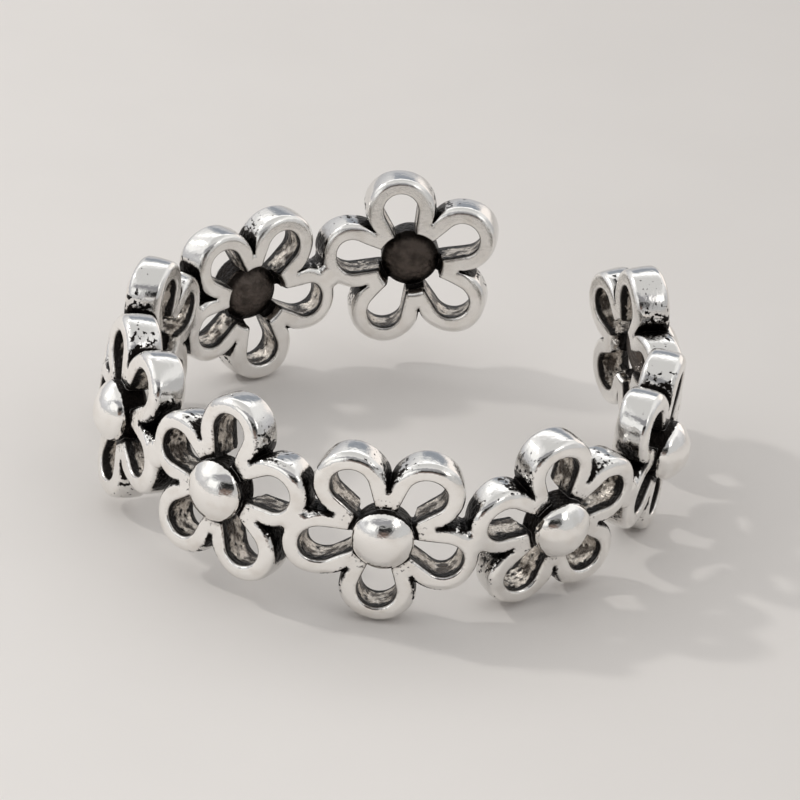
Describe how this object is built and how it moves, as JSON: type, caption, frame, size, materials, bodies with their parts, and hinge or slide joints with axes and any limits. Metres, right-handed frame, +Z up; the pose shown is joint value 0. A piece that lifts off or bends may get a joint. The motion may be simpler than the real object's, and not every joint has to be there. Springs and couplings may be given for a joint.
{
  "type": "toe ring",
  "caption": "Open band toe ring of pierced five-petal flowers cast in one piece, with a ball at each flower's centre and free ends that spring to fit.",
  "frame": {"origin": "on the band's axis, level with the middle of the flower that faces -Y", "axes": "+Z up from the surface that the ring lies on, within 4 degrees of the band's axis; -Y towards the front flower; the gap between the free ends is towards +X +Y"},
  "size_m": [0.0189, 0.0195, 0.0068],
  "materials": {
    "antique_silver": "polished cast silver with blackened recesses"
  },
  "bodies": {
    "root": {"flower_band": "antique_silver"}
  },
  "joints": []
}
